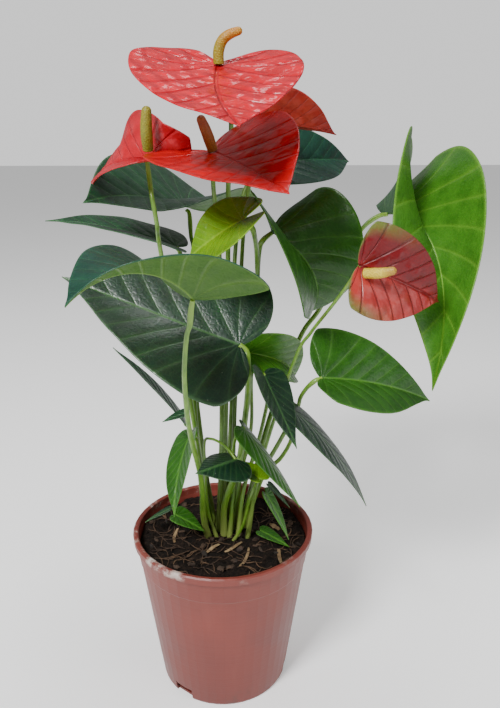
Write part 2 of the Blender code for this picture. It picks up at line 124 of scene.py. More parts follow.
def leafMaterial(name, look, under=False):
    surface, tree, shader = newMaterial(name)
    flat, _, across, phase, edge = bladeSockets(tree)
    side, rib = veinMasks(tree, across, phase, 0.11 if under else 0.08)
    patches = speckle(tree, flat, 7.0, 4.0)
    fine = speckle(tree, flat, 60.0, 4.0, 0.65)
    net = node(tree, "ShaderNodeTexVoronoi", {"Vector": flat, "Scale": 34.0}, feature="DISTANCE_TO_EDGE")
    colour = blend(tree, remap(tree, patches, 0.35, 0.68), look["deep"], look["main"])
    between = calc(tree, "MULTIPLY", remap(tree, calc(tree, "PINGPONG", phase, 0.5), 0.08, 0.5), 0.45)
    colour = blend(tree, between, colour, look["main"])
    halo = node(tree, "ShaderNodeMapRange",
                {0: calc(tree, "PINGPONG", phase, 0.5), 1: 0.0, 2: 0.3, 3: 0.16, 4: 0.0})
    colour = blend(tree, halo, colour, look["vein"])
    colour = blend(tree, calc(tree, "MULTIPLY", side, look["veinStrength"]), colour, look["vein"])
    colour = blend(tree, calc(tree, "MULTIPLY", rib, 0.9), colour, look["vein"])
    lace = calc(tree, "MULTIPLY", remap(tree, net, 0.07, 0.0), 0.16)
    colour = blend(tree, lace, colour, look["vein"])
    margin = remap(tree, edge, 0.93, 1.0, 0.0, 0.55)
    colour = blend(tree, margin, colour, look["vein"])
    colour = blend(tree, remap(tree, fine, 0.35, 0.8, 0.0, 0.25), colour, look["deep"])
    if look.get("specks"):
        dots = node(tree, "ShaderNodeTexVoronoi", {"Vector": flat, "Scale": 26.0, "Randomness": 1.0})
        dusty = calc(tree, "MULTIPLY", remap(tree, dots, 0.09, 0.04), remap(tree, patches, 0.5, 0.62))
        colour = blend(tree, calc(tree, "MULTIPLY", dusty, look["specks"]), colour, (0.45, 0.5, 0.38))
    ridge = calc(tree, "MAXIMUM", side, rib)
    pillow = remap(tree, calc(tree, "PINGPONG", phase, 0.5), 0.0, 0.42)
    relief = calc(tree, "SUBTRACT", calc(tree, "MULTIPLY", pillow, 0.5),
                  calc(tree, "MULTIPLY", ridge, -0.9 if under else 0.4))
    relief = calc(tree, "ADD", relief, calc(tree, "MULTIPLY", speckle(tree, flat, 16.0, 2.0), 0.9))
    normal = bumped(tree, relief, look.get("relief", 0.32), 0.0016)
    normal = bumped(tree, remap(tree, net, 0.0, 0.25), 0.16, 0.0004, normal)
    normal = bumped(tree, fine, 0.12, 0.0003, normal)
    plug(tree, shader, Base_Color=colour, Normal=normal,
         Roughness=remap(tree, fine, 0.3, 0.7, look["rough"] - 0.06, look["rough"] + 0.1))
    plug(tree, shader, Specular_IOR_Level=look.get("shine", 0.25), Coat_Weight=look.get("coat", 0.12) * 0.3,
         Coat_Roughness=0.3, Subsurface_Weight=0.06, Subsurface_Radius=(0.4, 1.0, 0.15),
         Subsurface_Scale=0.002)
    return surface


def spatheMaterial(name, look, under=False):
    surface, tree, shader = newMaterial(name)
    flat, along, across, phase, edge = bladeSockets(tree)
    side, rib = veinMasks(tree, across, phase, 0.1)
    patches = speckle(tree, flat, 5.5, 3.0)
    fine = speckle(tree, flat, 70.0, 3.0, 0.6)
    bubbles = node(tree, "ShaderNodeTexVoronoi", {"Vector": flat, "Scale": 11.0, "Smoothness": 0.8},
                   feature="SMOOTH_F1")
    colour = blend(tree, remap(tree, patches, 0.35, 0.65), look["deep"], look["main"])
    # Painted highlight: the crests of the quilting are painted in the lighter colour, on top of their bump.
    painted_crest_highlight = remap(tree, bubbles, 0.55, 0.15)
    colour = blend(tree, calc(tree, "MULTIPLY", painted_crest_highlight, look.get("painted_crest_highlight", 0.3)), colour, look["light"])
    if look.get("split"):
        upper = remap(tree, calc(tree, "ADD", across, calc(tree, "MULTIPLY", patches, 0.12)), *look["split"])
        colour = blend(tree, upper, colour, look["second"])
    if look.get("edge"):
        ragged = calc(tree, "ADD", edge, calc(tree, "MULTIPLY", patches, 0.4))
        green = calc(tree, "MULTIPLY", remap(tree, ragged, 0.85, 1.2), remap(tree, along, 0.3, -0.05))
        colour = blend(tree, green, colour, look["edge"])
    colour = blend(tree, calc(tree, "MULTIPLY", calc(tree, "MAXIMUM", side, rib), look["veinStrength"]),
                   colour, look["vein"])
    colour = blend(tree, remap(tree, fine, 0.4, 0.8, 0.0, 0.2), colour, look["deep"])
    dent = calc(tree, "SUBTRACT", remap(tree, bubbles, 0.6, 0.0),
                calc(tree, "MULTIPLY", calc(tree, "MAXIMUM", side, rib), -0.6 if under else 0.7))
    dent = calc(tree, "ADD", dent, calc(tree, "MULTIPLY", speckle(tree, flat, 14.0, 2.0), 0.8))
    normal = bumped(tree, dent, look["quilt"], 0.003)
    normal = bumped(tree, fine, 0.08, 0.0003, normal)
    plug(tree, shader, Base_Color=colour, Normal=normal, Roughness=look["rough"], Specular_IOR_Level=0.28)
    plug(tree, shader, Coat_Weight=look.get("coat", 0.5) * 0.25, Coat_Roughness=0.16, Subsurface_Weight=0.08,
         Subsurface_Radius=(1.0, 0.3, 0.2), Subsurface_Scale=0.002)
    return surface


def stalkMaterial(name, look):
    surface, tree, shader = newMaterial(name)
    split = tree.nodes.new("ShaderNodeSeparateXYZ")
    unwrapped = node(tree, "ShaderNodeUVMap", uv_map="stalk")
    tree.links.new(unwrapped, split.inputs[0])
    body = node(tree, "ShaderNodeTexCoord", output=3)
    stretched = node(tree, "ShaderNodeMapping", {"Vector": body, "Scale": (500.0, 500.0, 45.0)})
    streaks = speckle(tree, stretched, 1.0, 3.0)
    blotch = speckle(tree, body, 70.0, 3.0)
    colour = blend(tree, remap(tree, streaks, 0.3, 0.7), look["main"], look["light"])
    colour = blend(tree, remap(tree, blotch, 0.5, 0.75, 0.0, 0.5), colour, look["deep"])
    colour = blend(tree, remap(tree, split.outputs[0], 0.9, 1.0), colour, look["top"])
    colour = blend(tree, remap(tree, split.outputs[0], 0.22, 0.0), colour, look["foot"])
    normal = bumped(tree, streaks, 0.25, 0.0004)
    plug(tree, shader, Base_Color=colour, Normal=normal, Roughness=0.38, Coat_Weight=0.15,
         Subsurface_Weight=0.1, Subsurface_Radius=(0.5, 1.0, 0.2), Subsurface_Scale=0.002)
    return surface


def spadixMaterial(name, look):
    surface, tree, shader = newMaterial(name)
    split = tree.nodes.new("ShaderNodeSeparateXYZ")
    tree.links.new(node(tree, "ShaderNodeUVMap", uv_map="stalk"), split.inputs[0])
    body = node(tree, "ShaderNodeTexCoord", output=3)
    grains = node(tree, "ShaderNodeTexVoronoi", {"Vector": body, "Scale": 1150.0})
    patches = speckle(tree, body, 160.0, 3.0)
    colour = blend(tree, remap(tree, split.outputs[0], *look["change"]), look["base"], look["tip"])
    colour = blend(tree, remap(tree, patches, 0.4, 0.7, 0.0, 0.35), colour, look["light"])
    colour = blend(tree, remap(tree, grains, 0.35, 0.7, 0.0, 0.55), colour, look["pit"])
    normal = bumped(tree, remap(tree, grains, 0.7, 0.1), 0.45, 0.0004)
    plug(tree, shader, Base_Color=colour, Normal=normal, Roughness=0.5, Subsurface_Weight=0.1,
         Subsurface_Radius=(1.0, 0.7, 0.2), Subsurface_Scale=0.002)
    return surface


leafOutline = ((1.0, 0.0), (0.93, 0.07), (0.82, 0.25), (0.62, 0.58), (0.38, 0.86), (0.14, 1.0),
               (-0.08, 0.93), (-0.24, 0.66), (-0.26, 0.36), (-0.14, 0.13), (-0.03, 0.02))
spatheOutline = ((1.0, 0.0), (0.95, 0.06), (0.84, 0.27), (0.66, 0.6), (0.42, 0.88), (0.16, 1.0),
                 (-0.08, 0.9), (-0.2, 0.62), (-0.21, 0.34), (-0.12, 0.12), (-0.03, 0.02))


bladeThickness = 0.55  # mm


def throughPoints(points, steps):
    # A smooth run of steps + 1 points through the given ones.
    points = np.asarray(points, float)
    ends = np.vstack([2 * points[0] - points[1], points, 2 * points[-1] - points[-2]])
    last = len(points) - 1
    run = []
    for step in range(steps + 1):
        place = step / steps * last
        index = min(int(place), last - 1)
        part = place - index
        a, b, c, d = ends[index:index + 4]
        turn = (2 * a - 5 * b + 4 * c - d) * part ** 2 + (3 * b - 3 * c + d - a) * part ** 3
        run.append(0.5 * (2 * b + (c - a) * part + turn))
    return np.array(run)


def flatBlade(shape, outline, rows, columns):
    # Places on the flat blade, row by row from the tip to the notch: along and across.
    edge = throughPoints(outline, rows)
    across = np.linspace(-1, 1, columns + 1)
    places = np.zeros((rows + 1, columns + 1, 2))
    for row in range(rows + 1):
        foot = max(1 - row / rows / 0.62, 0) ** 0.9
        for column, side in enumerate(across):
            reach = edge[row, 0]
            if reach < 0:
                reach *= shape["lobe"] * (shape.get("lobeRatio", 1) if side < 0 else 1)
            along = foot * (1 - abs(side)) + reach * abs(side)
            places[row, column] = along * shape["length"], side * edge[row, 1] * shape["width"] / 2
    return places * mm


def bentBlade(shape, places):
    # The flat blade folded up along its midrib, cupped, twisted, drooped and swept to one side.
    along, across = places[..., 0], places[..., 1]
    length, half = shape["length"] * mm, shape["width"] * mm / 2
    stations = np.linspace(-0.6 * length, length, 161)
    forward = np.clip(stations / length, 0, 1)
    slope = -np.radians(shape.get("droop", 0)) * forward
    sweep = np.radians(shape.get("sweep", 0)) * forward
    heading = np.stack([np.cos(slope) * np.cos(sweep), np.cos(slope) * np.sin(sweep), np.sin(slope)], -1)
    spine = np.cumsum(heading, 0) * (stations[1] - stations[0])
    spine -= spine[np.argmin(abs(stations))]

    def alongSpine(values):
        return np.stack([np.interp(along, stations, values[:, axis]) for axis in range(3)], -1)

    foot, direction = alongSpine(spine), alongSpine(heading)
    direction /= np.linalg.norm(direction, axis=-1, keepdims=True)
    turned = np.interp(along, stations, sweep)
    sideways = np.stack([-np.sin(turned), np.cos(turned), 0 * turned], -1)
    upward = np.cross(direction, sideways)
    twist = (np.radians(shape.get("twist", 0)) * np.clip(along / length, -0.3, 1))[..., None]
    out = sideways * np.cos(twist) + upward * np.sin(twist)
    up = upward * np.cos(twist) - sideways * np.sin(twist)
    left = across > 0
    fold, cup, lift = (np.radians(np.where(left, *shape.get(bend, (0, 0))))
                       for bend in ("fold", "cup", "lift"))
    fold = fold + lift * np.clip(1 - along / (0.6 * length), 0, 1.5)
    curl = np.where(abs(cup) < 1e-6, 1e-6, cup) / half
    distance = abs(across)
    reach = (np.sin(fold + curl * distance) - np.sin(fold)) / curl
    rise = (np.cos(fold) - np.cos(fold + curl * distance)) / curl
    return foot + out * (np.sign(across) * reach)[..., None] + up * rise[..., None], up


def turnMatrix(shape):
    roll, heading = math.radians(shape["roll"]), math.radians(shape["heading"])
    rise = -math.radians(shape["rise"])
    turnX = np.array([[1, 0, 0], [0, math.cos(roll), -math.sin(roll)], [0, math.sin(roll), math.cos(roll)]])
    turnY = np.array([[math.cos(rise), 0, math.sin(rise)], [0, 1, 0], [-math.sin(rise), 0, math.cos(rise)]])
    turnZ = np.array([[math.cos(heading), -math.sin(heading), 0], [math.sin(heading), math.cos(heading), 0],
                      [0, 0, 1]])
    return turnZ @ turnY @ turnX


def veinPhase(along, across, length, half, count):
    # Side veins sweep forward from the midrib; below them the basal veins fan out into the lobes.
    side = min(abs(across) / half, 1.2)
    sweep = length * (0.5 * side - 0.14 * side * side)
    ahead = (along - sweep) / length
    if ahead >= 0:
        return count * ahead
    angle = math.atan2(abs(across), along) - math.atan2(abs(across), sweep + 1e-6)
    return -angle / math.radians(27)


def makeBlade(name, shape, outline, upper, lower, rows, columns, wave=0.7, pillow=0.2, count=7):
    places = flatBlade(shape, outline, rows, columns)
    surface, up = bentBlade(shape, places)
    length, half = shape["length"] * mm, shape["width"] * mm / 2
    turn = turnMatrix(shape)
    seed = sum(map(ord, name)) * 0.37
    grid = bmesh.new()
    blade = grid.loops.layers.uv.new("blade")
    veins = grid.loops.layers.uv.new("veins")
    bmesh.ops.create_grid(grid, x_segments=columns, y_segments=rows, size=0.5)
    flat = {}
    for corner in grid.verts:
        column = round((corner.co.x + 0.5) * columns)
        row = round((0.5 - corner.co.y) * rows)
        along, across = places[row, column]
        side = abs(2 * column / columns - 1)
        phase = veinPhase(along, across, length, half, count)
        flat[corner] = (along / mm / 100, across / mm / 100, phase, side)
        ripple = noise.noise(Vector((along * 45, across * 45, seed))) * side ** 2
        between = abs(math.sin(math.pi * phase)) * min(3 * side, 1) * (1 - side ** 3)
        lift = wave * (1.6 * ripple + pillow * between) * mm * min(half / (35 * mm), 1)
        local = surface[row, column] + up[row, column] * lift
        corner.co = Vector(turn @ local) + Vector(shape["at"]) * mm
    for face in grid.faces:
        for loop in face.loops:
            a, b, c, d = flat[loop.vert]
            loop[blade].uv = (a, b)
            loop[veins].uv = (c, d)
    bmesh.ops.remove_doubles(grid, verts=grid.verts, dist=0.015 * mm)
    bmesh.ops.recalc_face_normals(grid, faces=grid.faces)
    grid.normal_update()
    topwards = Vector(turn @ up[rows // 3, columns // 2])
    total = sum((face.normal for face in grid.faces), Vector())
    if total.dot(topwards) < 0:
        bmesh.ops.reverse_faces(grid, faces=grid.faces)
    mesh = bpy.data.meshes.new(name)
    grid.to_mesh(mesh)
    grid.free()
    mesh.shade_smooth()
    mesh.materials.append(upper)
    mesh.materials.append(lower)
    piece = bpy.data.objects.new(name, mesh)
    bpy.context.scene.collection.objects.link(piece)
    wall = piece.modifiers.new("Thickness", "SOLIDIFY")
    wall.thickness = bladeThickness * mm
    wall.offset = 0
    wall.material_offset = 1
    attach(piece, "root")
    return piece


def makeTube(name, route, radiusAt, surface, around=20, steps=None):
    # A round tube along a route in millimetres; radiusAt runs from 0 at its first point to 1 at its last.
    steps = steps or 10 * (len(route) - 1)
    points = throughPoints(route, steps) * mm
    travel = np.concatenate([[0], np.cumsum(np.linalg.norm(np.diff(points, axis=0), axis=1))])
    travel /= travel[-1]
    tube = bmesh.new()
    unwrap = tube.loops.layers.uv.new("stalk")
    bmesh.ops.create_grid(tube, x_segments=around, y_segments=steps, size=0.5)
    side = Vector((1, 0, 0.02)).normalized()
    frames = []
    for index in range(steps + 1):
        ahead = Vector(points[min(index + 1, steps)] - points[max(index - 1, 0)]).normalized()
        side = (side - ahead * side.dot(ahead)).normalized()
        frames.append((side.copy(), ahead.cross(side)))
    flat = {}
    for corner in tube.verts:
        index = round((corner.co.y + 0.5) * steps)
        turn = (corner.co.x + 0.5) * 2 * math.pi
        radius = radiusAt(travel[index]) * mm
        first, second = frames[index]
        flat[corner] = (1 - travel[index], corner.co.x + 0.5)
        outwards = first * math.cos(turn) * radius + second * math.sin(turn) * radius
        corner.co = Vector(points[index]) + outwards
    for face in tube.faces:
        for loop in face.loops:
            loop[unwrap].uv = flat[loop.vert]
    bmesh.ops.remove_doubles(tube, verts=tube.verts, dist=0.005 * mm)
    bmesh.ops.holes_fill(tube, edges=[edge for edge in tube.edges if edge.is_boundary])
    bmesh.ops.recalc_face_normals(tube, faces=tube.faces)
    mesh = bpy.data.meshes.new(name)
    tube.to_mesh(mesh)
    tube.free()
    mesh.shade_smooth()
    mesh.materials.append(surface)
    piece = bpy.data.objects.new(name, mesh)
    bpy.context.scene.collection.objects.link(piece)
    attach(piece, "root")
    return piece


def stalkRadius(radii, joint, foot):
    # Slim above, swollen at the joint under the blade and widened at the sheathing foot.
    def radius(place):
        plain = 0.88 * (radii[0] + (radii[1] - radii[0]) * place)
        knee = joint * math.exp(-((place - 0.045) / 0.03) ** 2)
        return plain * (1 + knee + foot * max((place - 0.85) / 0.15, 0) ** 1.5)
    return radius


def roundedRadius(radii, length):
    # A finger shape: the given radii with a rounded tip.
    def radius(place):
        plain = np.interp(place, np.linspace(0, 1, len(radii)), radii)
        left = (1 - place) * length / radii[-1]
        return plain * math.sqrt(max(1 - max(1 - left, 0) ** 2, 0.0004))
    return radius


# Every blade: the junction with its stalk in mm, heading, rise and roll of its midrib in degrees, length
# and width in mm, then its bends in degrees. The stalk runs from the junction down into the mix.
spathes = {
    "top": dict(
        at=(1, -10, 395.5), heading=-97, rise=-21, roll=3, length=97, width=90,
        droop=-1, sweep=23, twist=-10, fold=(1, 3), cup=(8, 16), lift=(-4, 4), lobe=1.05,
        stalk=[(1, -10, 395.5), (4, 4, 388), (7, 18, 377), (8, 28, 362), (6, 32, 328), (5, 25, 259),
               (3, 15, 195), (0, 9, 100)],
        radii=(1.6, 2.0)),
    "front": dict(
        at=(-3, 0, 351), heading=-67, rise=-7, roll=16, length=86, width=86,
        droop=9, sweep=2, twist=1, fold=(12, 11), cup=(10, 6), lobe=0.9,
        stalk=[(-3, 0, 351), (-3, 18, 329), (0, 27, 288), (0, 21, 240), (0, 7, 183), (-3, 5, 100)],
        radii=(1.5, 1.9)),
    "left": dict(
        at=(-42, 17, 346), heading=158, rise=6, roll=-35, length=50, width=56,
        droop=56, sweep=-2, twist=7, fold=(3, 7), cup=(-4, 9), lift=(29, 46), lobe=1.8, lobeRatio=1.7,
        stalk=[(-42, 19, 345), (-41, 17, 336), (-39, 10, 324), (-37, 11, 309), (-36, 21, 289),
               (-23, 20, 208), (-15, 9, 153), (-12, 10, 100)],
        radii=(1.5, 1.9)),
    "rear": dict(
        at=(27, 43, 366), heading=13, rise=4, roll=-24, length=49, width=62,
        droop=25, sweep=-3, twist=6, fold=(19, 15), cup=(6, 5), lobe=1.0,
        stalk=[(27, 43, 366), (21, 44, 339), (16, 44, 301), (13, 34, 257), (9, 19, 192), (6, 18, 100)],
        radii=(1.4, 1.8)),
    "young": dict(
        at=(72, -57, 296), heading=2, rise=-19, roll=76, length=56, width=51,
        droop=30, sweep=-6, twist=7, fold=(19, 11), cup=(2, -1), lift=(-2, 11), lobe=0.3,
        stalk=[(72, -57, 296), (71, -56, 293), (66, -48, 281), (60, -38, 268), (56, -30, 259),
               (52, -23, 250), (46, -15, 236), (34, -10, 195), (23, -7, 150), (16, -4, 100)],
        radii=(1.0, 1.5)),
}

leaves = {
    "upper_left": dict(
        at=(-23, 94, 311), heading=-132, rise=19, roll=-18, length=102, width=94,
        droop=19, sweep=22, twist=-11, fold=(11, 20), cup=(1, 3), lift=(26, 0), lobe=1.7,
        stalk=[(-23, 94, 309), (-21, 92, 306), (-20, 85, 292), (-18, 71, 279), (-21, 52, 232),
               (-15, 26, 169), (-7, 20, 100)],
        radii=(1.5, 2.2)),
    "side_left": dict(
        at=(-29, 60, 288), heading=-179, rise=23, roll=-1, length=88, width=73,
        droop=22, sweep=1, twist=-4, fold=(10, 10), cup=(-6, -10), lobe=0.3,
        stalk=[(-29, 60, 288), (-26, 59, 281), (-23, 50, 254), (-19, 31, 203), (-16, 15, 151),
               (-12, 15, 100)],
        radii=(1.5, 2.0)),
    "front_left": dict(
        at=(-13, -86, 286), heading=-141, rise=49, roll=11, length=75, width=90,
        droop=83, sweep=-10, twist=5, fold=(19, 26), cup=(-36, 4), lift=(9, -4), lobe=0.3,
        stalk=[(-13, -86, 286), (-14, -84, 280), (-15, -81, 272), (-17, -78, 264), (-19, -69, 239),
               (-18, -52, 203), (-13, -28, 159), (-13, -12, 125), (-10, 0, 100)],
        radii=(1.35, 2.1)),
    "big_dark": dict(
        at=(11, -17, 242), heading=168, rise=18, roll=-41, length=114, width=91,
        droop=-2, sweep=-1, twist=6, fold=(13, 11), cup=(-2, -7), lift=(-8, 1), lobe=0.4,
        stalk=[(11, -17, 242), (15, -17, 237), (16, -24, 227), (16, -16, 210), (14, -8, 186),
               (10, -6, 156), (1, -1, 125), (1, 1, 100)],
        radii=(2.0, 2.6)),
    "young_bright": dict(
        at=(13, -24, 316), heading=172, rise=-30, roll=-44, length=42, width=46,
        droop=27, sweep=-10, twist=-10, fold=(17, 10), cup=(2, 2), lift=(10, -23), lobe=1.2,
        stalk=[(13, -24, 316), (17, -18, 312), (20, -10, 306), (23, 12, 286), (23, 16, 248),
               (15, 11, 181), (5, 9, 100)],
        radii=(1.6, 2.0)),
    "upper_right": dict(
        at=(33, 25, 302), heading=-37, rise=-19, roll=28, length=79, width=97,
        droop=129, sweep=16, twist=25, fold=(30, 32), cup=(10, -22), lift=(-30, 45), lobe=0.3, lobeRatio=0.2,
        stalk=[(33, 25, 302), (27, 20, 298), (25, 22, 292), (24, 24, 274), (23, 21, 240),
               (15, 16, 172), (8, 13, 100)],
        radii=(1.6, 2.0)),
    "rear_right": dict(
        at=(29, 72, 341), heading=22, rise=6, roll=51, length=93, width=58,
        droop=35, sweep=14, twist=23, fold=(14, 22), cup=(-9, 11), lobe=0.9,
        stalk=[(29, 72, 341), (18, 68, 325), (13, 62, 302), (10, 52, 276), (9, 36, 229), (6, 22, 171),
               (2, 22, 100)],
        radii=(1.5, 2.0)),
    "large_right": dict(
        at=(118, 78, 307), heading=-74, rise=9, roll=-20, length=169, width=114,
        droop=89, sweep=3, twist=48, fold=(56, 31), cup=(21, -5), lift=(-2, 62), lobe=1.0,
        stalk=[(118, 78, 307), (112, 82, 305), (100, 76, 297), (87, 66, 279), (69, 52, 247),
               (54, 44, 227), (32, 21, 177), (13, 13, 100)],
        radii=(1.6, 2.2)),
    "lower_right": dict(
        at=(63, -3, 215), heading=9, rise=-5, roll=33, length=83, width=68,
        droop=26, sweep=-5, twist=12, fold=(19, 17), cup=(-7, -11), lift=(7, 16), lobe=0.3,
        stalk=[(63, -3, 215), (59, -4, 214), (54, -3, 209), (50, -2, 202), (48, 0, 193), (38, 5, 169),
               (23, 7, 138), (9, 6, 100)],
        radii=(1.4, 2.0)),
    "crinkled": dict(
        at=(17, 8, 229), heading=13, rise=-12, roll=52, length=59, width=49,
        droop=71, sweep=-3, twist=3, fold=(43, 28), cup=(21, 8), lift=(29, 5), lobe=0.5,
        stalk=[(17, 8, 229), (19, 7, 223), (19, 2, 209), (19, 10, 174), (11, 5, 140), (5, 4, 100)],
        radii=(1.2, 1.6)),
    "dark_centre": dict(
        at=(25, -22, 225), heading=-63, rise=-40, roll=-17, length=49, width=33,
        droop=8, sweep=7, fold=(4, 12), cup=(1, 3), lift=(2, 14), lobe=0.3,
        stalk=[(25, -22, 225), (29, -12, 215), (29, -4, 201), (24, 6, 169), (14, 4, 134), (10, -1, 100)],
        radii=(1.3, 1.7)),
    "long_drooping": dict(
        at=(43, -22, 202), heading=-5, rise=-41, roll=4, length=82, width=34,
        droop=26, sweep=1, twist=9, fold=(-1, 2), cup=(-12, -9), lobe=0.3,
        stalk=[(43, -22, 202), (46, -2, 184), (45, 3, 170), (39, 8, 155), (27, 11, 139), (14, 8, 100)],
        radii=(1.3, 1.9)),
    "low_left": dict(
        at=(-20, -19, 184), heading=-119, rise=-44, roll=32, length=49, width=28,
        droop=21, sweep=6, twist=-18, fold=(13, 8), cup=(2, -6), lobe=0.4,
        stalk=[(-20, -19, 184), (-16, -12, 179), (-15, -7, 166), (-13, 0, 137), (-12, 5, 100)],
        radii=(1.2, 1.8)),
    "small_dark": dict(
        at=(8, -35, 176), heading=-126, rise=12, roll=-22, length=34, width=29,
        droop=15, sweep=-10, twist=-2, fold=(-11, -16), cup=(-15, -13), lobe=0.8,
        stalk=[(8, -35, 176), (4, -30, 180), (-1, -24, 182), (-7, -16, 181), (-11, -10, 176),
               (-11, -7, 155), (-10, -3, 124), (-4, -2, 100)],
        radii=(0.9, 1.2)),
    "small_bright": dict(
        at=(22, -31, 161), heading=128, rise=11, roll=-1, length=27, width=17,
        droop=14, sweep=-5, twist=2, fold=(18, 13), cup=(4, -1), lobe=0.6,
        stalk=[(22, -31, 161), (20, -22, 151), (17, -20, 140), (13, -12, 117), (6, -6, 100)],
        radii=(0.9, 1.2)),
    "low_right": dict(
        at=(13, -28, 193), heading=-19, rise=-49, roll=-7, length=60, width=30,
        droop=9, sweep=3, twist=2, fold=(-6, -2), cup=(-10, -11), lobe=0.3,
        stalk=[(13, -28, 193), (9, -10, 180), (7, -3, 164), (7, 1, 136), (4, -3, 100)],
        radii=(1.1, 1.6)),
    "narrow_left": dict(
        at=(-26, 35, 169), heading=164, rise=52, roll=21, length=72, width=34,
        droop=10, sweep=1, twist=-10, fold=(11, 7), cup=(-3, -8), lobe=0.3,
        stalk=[(-26, 35, 169), (-21, 34, 164), (-18, 26, 153), (-15, 19, 134), (-4, 13, 100)],
        radii=(1.0, 1.4)),
}


leafLooks = {
    "dark": dict(deep=(0.002, 0.014, 0.007), main=(0.005, 0.028, 0.012), vein=(0.045, 0.12, 0.035),
                 veinStrength=0.25, rough=0.36, coat=0.22, shine=0.45, specks=0.5, relief=0.22),
    "bluish": dict(deep=(0.004, 0.028, 0.018), main=(0.008, 0.048, 0.028), vein=(0.02, 0.085, 0.04),
                   veinStrength=0.3, rough=0.36, coat=0.2),
    "veined": dict(deep=(0.005, 0.028, 0.012), main=(0.012, 0.055, 0.022), vein=(0.045, 0.13, 0.05),
                   veinStrength=0.45, rough=0.35, coat=0.2, relief=0.5),
    "mid": dict(deep=(0.01, 0.055, 0.004), main=(0.02, 0.095, 0.006), vein=(0.07, 0.2, 0.02),
                veinStrength=0.3, rough=0.33, coat=0.2),
    "bright": dict(deep=(0.022, 0.105, 0.006), main=(0.045, 0.165, 0.01), vein=(0.13, 0.29, 0.025),
                   veinStrength=0.4, rough=0.32, coat=0.2),
    "yellowGreen": dict(deep=(0.075, 0.18, 0.002), main=(0.12, 0.26, 0.003), vein=(0.2, 0.36, 0.015),
                        veinStrength=0.5, rough=0.3, coat=0.25),
    "olive": dict(deep=(0.03, 0.09, 0.01), main=(0.05, 0.125, 0.014), vein=(0.12, 0.22, 0.035),
                  veinStrength=0.3, rough=0.5, coat=0.0, relief=0.3),
}
underLooks = {
    "pale": dict(deep=(0.03, 0.09, 0.014), main=(0.045, 0.12, 0.02), vein=(0.11, 0.22, 0.04),
                 veinStrength=0.4, rough=0.52, coat=0.0),
    "grey": dict(deep=(0.02, 0.06, 0.025), main=(0.035, 0.085, 0.04), vein=(0.08, 0.16, 0.06),
                 veinStrength=0.35, rough=0.5, coat=0.0),
    "olive": leafLooks["olive"],
    "yellowGreen": dict(leafLooks["yellowGreen"], rough=0.45, coat=0.0),
    "vivid": dict(leafLooks["bright"], rough=0.3),
}
leafPaint = {
    "upper_left": ("veined", "pale"), "side_left": ("veined", "grey"), "front_left": ("bluish", "olive"),
    "big_dark": ("dark", "pale"), "young_bright": ("yellowGreen", "yellowGreen"),
    "upper_right": ("mid", "grey"),
    "rear_right": ("bluish", "grey"), "large_right": ("bright", "grey"), "lower_right": ("mid", "pale"),
    "crinkled": ("bright", "vivid"), "dark_centre": ("dark", "pale"), "long_drooping": ("dark", "pale"),
    "low_left": ("mid", "pale"), "small_dark": ("dark", "pale"), "small_bright": ("yellowGreen", "pale"),
    "low_right": ("mid", "pale"), "narrow_left": ("veined", "grey"),
}
# In each look, light is the colour of the painted highlight laid on the crests of the quilting.
spatheLooks = {
    "top": dict(deep=(0.42, 0.0, 0.008), main=(0.58, 0.001, 0.014), light=(0.68, 0.01, 0.035),
                vein=(0.36, 0.0, 0.006), veinStrength=0.25, rough=0.27, coat=0.3, quilt=0.7, painted_crest_highlight=0.35),
    "front": dict(deep=(0.38, 0.0, 0.002), main=(0.55, 0.0, 0.004), light=(0.62, 0.002, 0.01),
                  vein=(0.4, 0.001, 0.004), veinStrength=0.22, rough=0.33, coat=0.25, quilt=0.35, painted_crest_highlight=0.25),
    "left": dict(deep=(0.36, 0.003, 0.01), main=(0.47, 0.01, 0.02), light=(0.55, 0.045, 0.055),
                 vein=(0.42, 0.012, 0.02), veinStrength=0.4, rough=0.32, coat=0.35, quilt=0.5, painted_crest_highlight=0.4),
    "rear": dict(deep=(0.36, 0.008, 0.008), main=(0.5, 0.018, 0.012), light=(0.55, 0.05, 0.03),
                 vein=(0.3, 0.008, 0.006), veinStrength=0.4, rough=0.4, coat=0.2, quilt=0.4),
    "young": dict(deep=(0.27, 0.015, 0.015), main=(0.34, 0.03, 0.025), light=(0.42, 0.07, 0.055),
                  vein=(0.09, 0.006, 0.006),
                  veinStrength=0.55, rough=0.32, coat=0.4, quilt=0.5, split=(0.02, 0.11),
                  second=(0.12, 0.002, 0.004), edge=(0.1, 0.15, 0.03)),
}
spatheUnder = dict(deep=(0.32, 0.014, 0.008), main=(0.42, 0.028, 0.012), light=(0.45, 0.07, 0.03),
                   vein=(0.26, 0.01, 0.006), veinStrength=0.5, rough=0.42, coat=0.1, quilt=0.35)
stalkLooks = {
    "petiole": dict(main=(0.08, 0.19, 0.012), light=(0.14, 0.27, 0.025), deep=(0.05, 0.12, 0.01),
                    top=(0.18, 0.32, 0.03), foot=(0.24, 0.3, 0.07)),
    "flower": dict(main=(0.07, 0.17, 0.012), light=(0.13, 0.25, 0.025), deep=(0.08, 0.09, 0.015),
                   top=(0.16, 0.24, 0.03), foot=(0.2, 0.27, 0.06)),
}
